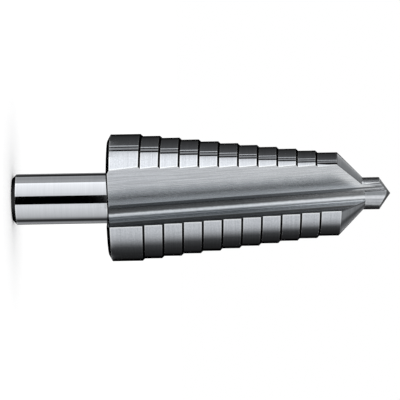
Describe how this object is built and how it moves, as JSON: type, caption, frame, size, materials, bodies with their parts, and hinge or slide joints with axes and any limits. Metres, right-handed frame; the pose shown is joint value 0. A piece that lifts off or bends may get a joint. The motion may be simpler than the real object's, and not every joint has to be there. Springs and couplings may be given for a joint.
{
  "type": "step drill",
  "caption": "Stepped sheet-metal drill with two straight flutes, bevelled steps, a lead cone with a short pilot point, and a plain round shank.",
  "frame": {"origin": "centre of the flat end face of the shank, on which the drill stands", "axes": "+Z along the axis from the shank's end to the point; one flute opens to -Y and the other to +Y"},
  "size_m": [0.03, 0.0272, 0.0892],
  "materials": {
    "tool_steel": "bright ground tool steel, polished shank"
  },
  "bodies": {
    "root": {"step_drill": "tool_steel"}
  },
  "joints": []
}
